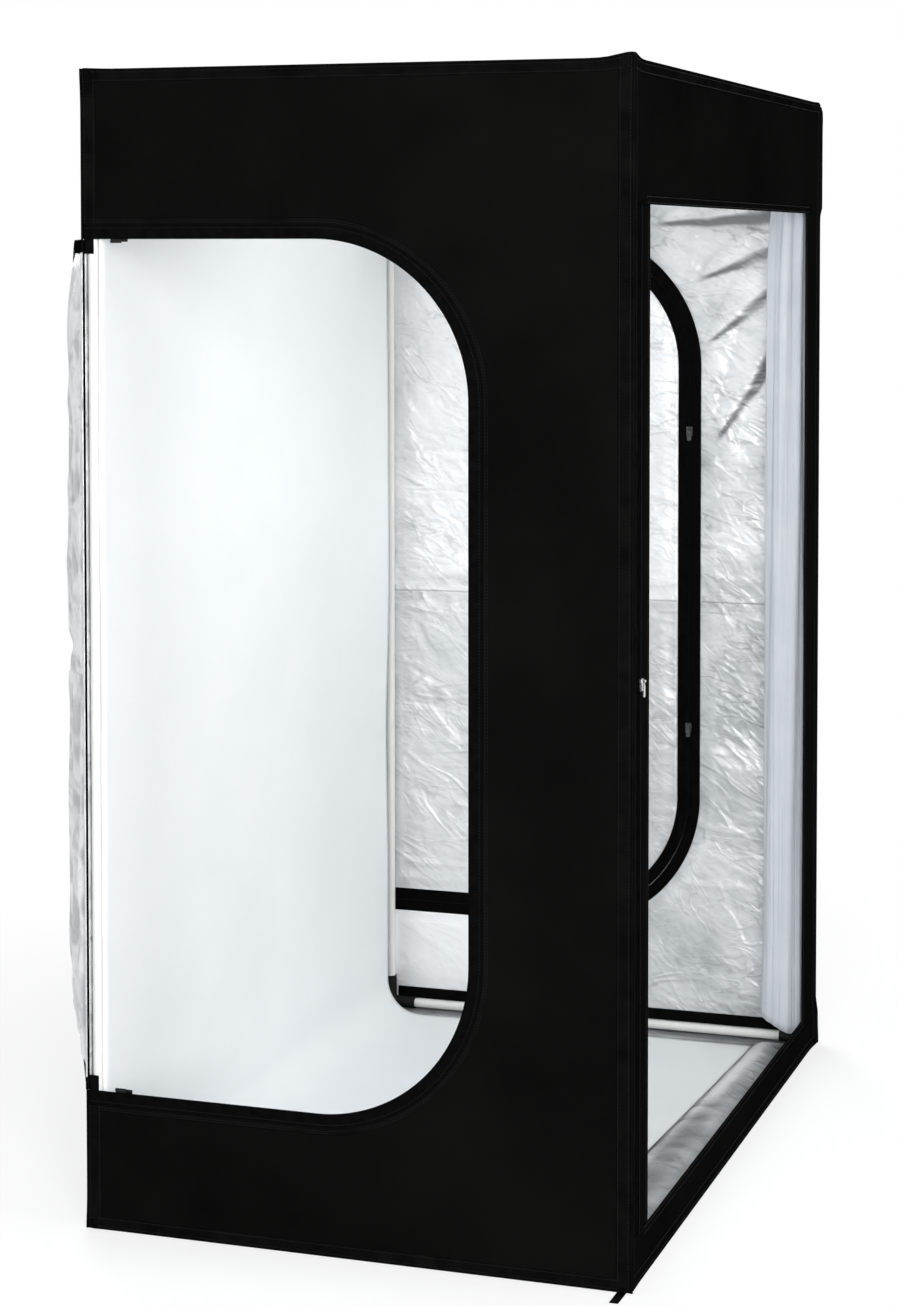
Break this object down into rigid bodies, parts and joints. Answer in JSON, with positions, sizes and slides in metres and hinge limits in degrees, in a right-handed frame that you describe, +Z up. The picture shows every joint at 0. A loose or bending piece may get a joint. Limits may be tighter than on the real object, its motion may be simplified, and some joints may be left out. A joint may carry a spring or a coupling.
{
  "type": "fabric enclosure tent",
  "caption": "Free-standing fabric tent on a tube frame, with D-shaped zip doors, an open side, a silver lining, a white sweep sheet and a gathered curtain.",
  "frame": {"origin": "middle of the tent's footprint on the underside of the floor", "axes": "+X towards the open side, +Y from the front door to the back door, +Z up"},
  "size_m": [1.3094, 1.5525, 2],
  "materials": {
    "frame_tube": "white powder coat on steel tube",
    "corner_plastic": "black moulded plastic",
    "cover_cloth": "black woven cloth with a silver coated lining",
    "floor_cloth": "silver coated lining over black cloth",
    "trim_cloth": "black binding tape and covered cord",
    "zip_tape": "black woven zip tape with a coil chain",
    "zip_metal": "bright plated zinc",
    "zip_black": "black lacquered zinc",
    "sweep_sheet": "matt white sheet",
    "clip_plastic": "black moulded plastic",
    "curtain_cloth": "thin white woven cloth"
  },
  "bodies": {
    "tent": {"upright_lower_front_left": "frame_tube", "upright_lower_front_right": "frame_tube", "upright_lower_back_left": "frame_tube", "upright_lower_back_right": "frame_tube", "upright_upper_front_left": "frame_tube", "upright_upper_front_right": "frame_tube", "upright_upper_back_left": "frame_tube", "upright_upper_back_right": "frame_tube", "rail_bottom_front": "frame_tube", "rail_bottom_back": "frame_tube", "rail_bottom_left": "frame_tube", "rail_bottom_right": "frame_tube", "rail_top_front": "frame_tube", "rail_top_back": "frame_tube", "rail_top_left": "frame_tube", "rail_top_right": "frame_tube", "corner_bottom_front_left": "corner_plastic", "corner_bottom_front_right": "corner_plastic", "corner_bottom_back_left": "corner_plastic", "corner_bottom_back_right": "corner_plastic", "corner_top_front_left": "corner_plastic", "corner_top_front_right": "corner_plastic", "corner_top_back_left": "corner_plastic", "corner_top_back_right": "corner_plastic", "floor_panel": "floor_cloth", "roof_panel": "cover_cloth", "front_panel": "cover_cloth", "back_panel": "cover_cloth", "left_panel": "cover_cloth", "side_header": "cover_cloth", "side_sill": "cover_cloth", "side_front_stile": "cover_cloth", "side_rear_stile": "cover_cloth", "front_left_welt": "trim_cloth", "back_left_welt": "trim_cloth", "right_welts": "trim_cloth", "corner_tab": "trim_cloth", "front_panel_zip": "zip_tape", "back_panel_zip": "zip_tape", "side_zip": "zip_tape", "sweep_sheet": "sweep_sheet", "sheet_clips": "clip_plastic"},
    "front_door": {"front_flap": "cover_cloth", "front_flap_zip": "zip_tape", "front_flap_sleeve": "trim_cloth"},
    "back_door": {"back_flap": "cover_cloth", "back_flap_zip": "zip_tape", "back_flap_sleeve": "trim_cloth"},
    "curtain": {"curtain": "curtain_cloth", "curtain_loops": "curtain_cloth"},
    "back_upper_slider": {"back_upper_slider": "zip_metal"},
    "back_upper_pull": {"back_upper_pull": "zip_metal"},
    "back_lower_slider": {"back_lower_slider": "zip_metal"},
    "back_lower_pull": {"back_lower_pull": "zip_metal"},
    "side_slider": {"side_slider": "zip_metal"},
    "side_pull": {"side_pull": "zip_metal"},
    "front_upper_slider": {"front_upper_slider": "zip_black"},
    "front_upper_pull": {"front_upper_pull": "zip_black"},
    "front_lower_slider": {"front_lower_slider": "zip_black"},
    "front_lower_pull": {"front_lower_pull": "zip_black"}
  },
  "joints": [
    {"name": "front_door_swing", "type": "hinge", "parent": "tent", "child": "front_door", "pos_m": [-0.487, -0.7495, 0.977], "axis": [0, 0, 1], "range_deg": [-12, 242]},
    {"name": "back_door_swing", "type": "hinge", "parent": "tent", "child": "back_door", "pos_m": [-0.487, 0.7495, 0.977], "axis": [0, 0, 1], "range_deg": [0, 239]},
    {"name": "curtain_slide", "type": "slide", "parent": "tent", "child": "curtain", "axis": [0, -1, 0], "range_m": [0, 1.15]},
    {"name": "back_upper_slide", "type": "slide", "parent": "tent", "child": "back_upper_slider", "axis": [0, 0, 1], "range_m": [-0.28, 0.12]},
    {"name": "back_upper_pull_swing", "type": "hinge", "parent": "back_upper_slider", "child": "back_upper_pull", "pos_m": [0.208, 0.7428, 1.31], "axis": [-1, 0, 0], "range_deg": [0, 150]},
    {"name": "back_lower_slide", "type": "slide", "parent": "tent", "child": "back_lower_slider", "axis": [0, 0, 1], "range_m": [-0.13, 0.28]},
    {"name": "back_lower_pull_swing", "type": "hinge", "parent": "back_lower_slider", "child": "back_lower_pull", "pos_m": [0.208, 0.7428, 0.67], "axis": [-1, 0, 0], "range_deg": [0, 150]},
    {"name": "side_slide", "type": "slide", "parent": "tent", "child": "side_slider", "axis": [0, 0, 1], "range_m": [-0.87, 0.75]},
    {"name": "side_pull_swing", "type": "hinge", "parent": "side_slider", "child": "side_pull", "pos_m": [0.4922, -0.697, 0.993], "axis": [0, -1, 0], "range_deg": [0, 150]},
    {"name": "front_upper_slide", "type": "slide", "parent": "tent", "child": "front_upper_slider", "axis": [1, 0, 0], "range_m": [0, 0.34]},
    {"name": "front_upper_pull_swing", "type": "hinge", "parent": "front_upper_slider", "child": "front_upper_pull", "pos_m": [-0.431, -0.7428, 1.712], "axis": [0, 0, 1], "range_deg": [0, 150]},
    {"name": "front_lower_slide", "type": "slide", "parent": "tent", "child": "front_lower_slider", "axis": [1, 0, 0], "range_m": [0, 0.34]},
    {"name": "front_lower_pull_swing", "type": "hinge", "parent": "front_lower_slider", "child": "front_lower_pull", "pos_m": [-0.431, -0.7428, 0.242], "axis": [0, 0, 1], "range_deg": [0, 150]}
  ]
}
